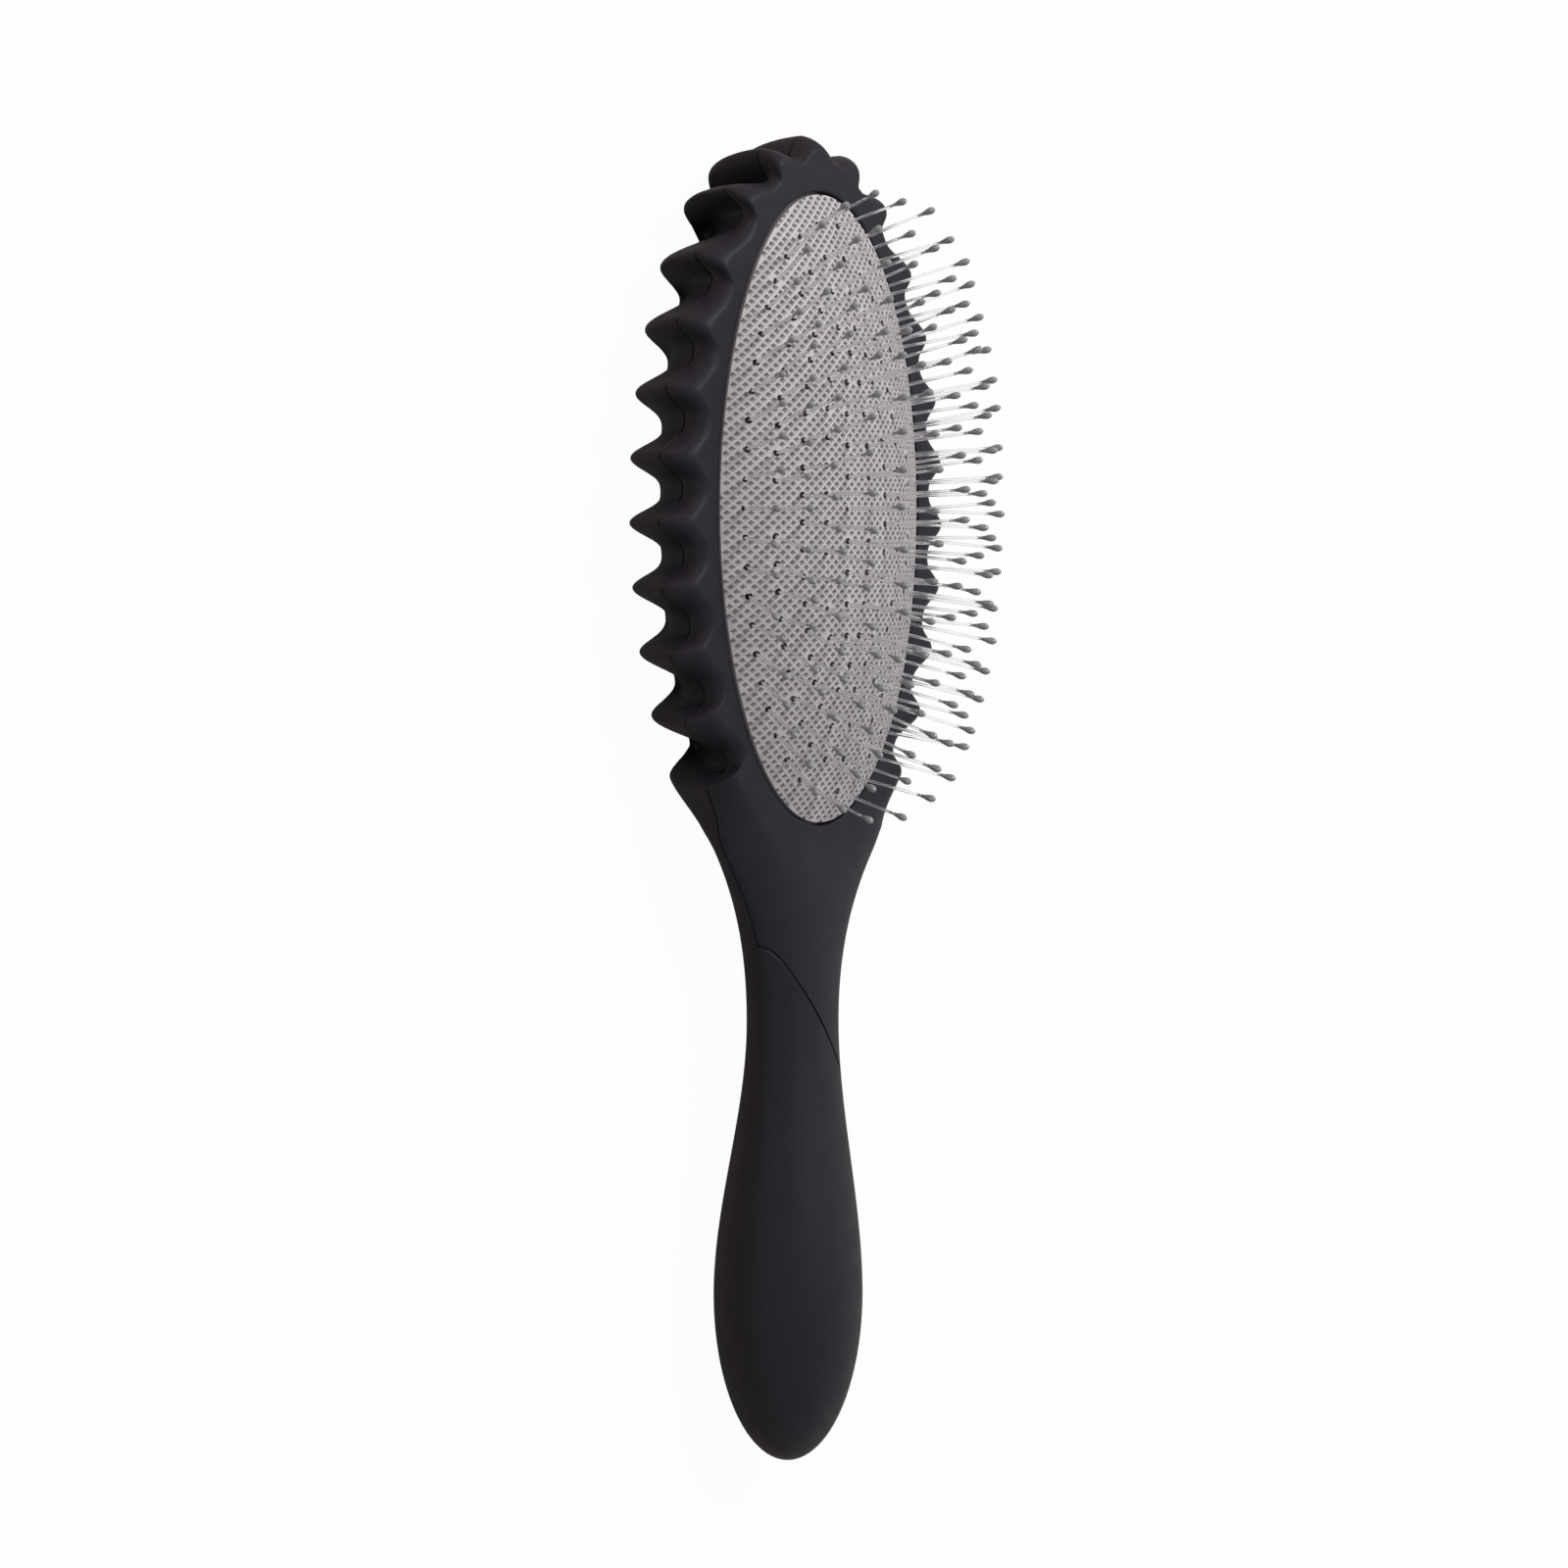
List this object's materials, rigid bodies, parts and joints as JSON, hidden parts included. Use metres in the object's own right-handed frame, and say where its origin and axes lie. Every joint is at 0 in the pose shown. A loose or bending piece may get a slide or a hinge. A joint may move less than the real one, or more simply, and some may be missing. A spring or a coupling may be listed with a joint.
{
  "type": "detangling brush",
  "caption": "Oval detangling hairbrush with a finned rim, an air cushion carrying rings of thin ball-tipped pins, and a slim neck that swells into a rounded grip.",
  "frame": {"origin": "bottom centre of the box: the brush lies on its back, with its length centred on the origin", "axes": "+Y along the brush to the end of the head, +X across the head, +Z out of the cushion along the pins"},
  "size_m": [0.0668, 0.228, 0.0436],
  "materials": {
    "body_black": "soft-touch matte black",
    "grip_black": "soft matte black",
    "cushion_grey": "matte grey with a fine diamond texture",
    "plate_grey": "plain moulded",
    "pin_clear": "clear polished nylon",
    "tip_grey": "glossy slate grey"
  },
  "bodies": {
    "body": {"front_shell": "body_black", "back_shell": "body_black", "grip_sleeve": "grip_black", "chamber_plate": "plate_grey", "cushion_pad": "cushion_grey"},
    "pins": {"pins_ring_1": "pin_clear", "pins_ring_2": "pin_clear", "pins_ring_3": "pin_clear", "pins_ring_4": "pin_clear", "pins_row_5": "pin_clear", "tips_ring_1": "tip_grey", "tips_ring_2": "tip_grey", "tips_ring_3": "tip_grey", "tips_ring_4": "tip_grey", "tips_row_5": "tip_grey"}
  },
  "joints": [
    {"name": "cushion_press", "type": "slide", "parent": "body", "child": "pins", "axis": [0, 0, -1], "range_m": [0, 0.003], "stiffness_N_per_m": 300, "springref_m": -0.001, "deforming": ["cushion_pad"]}
  ]
}
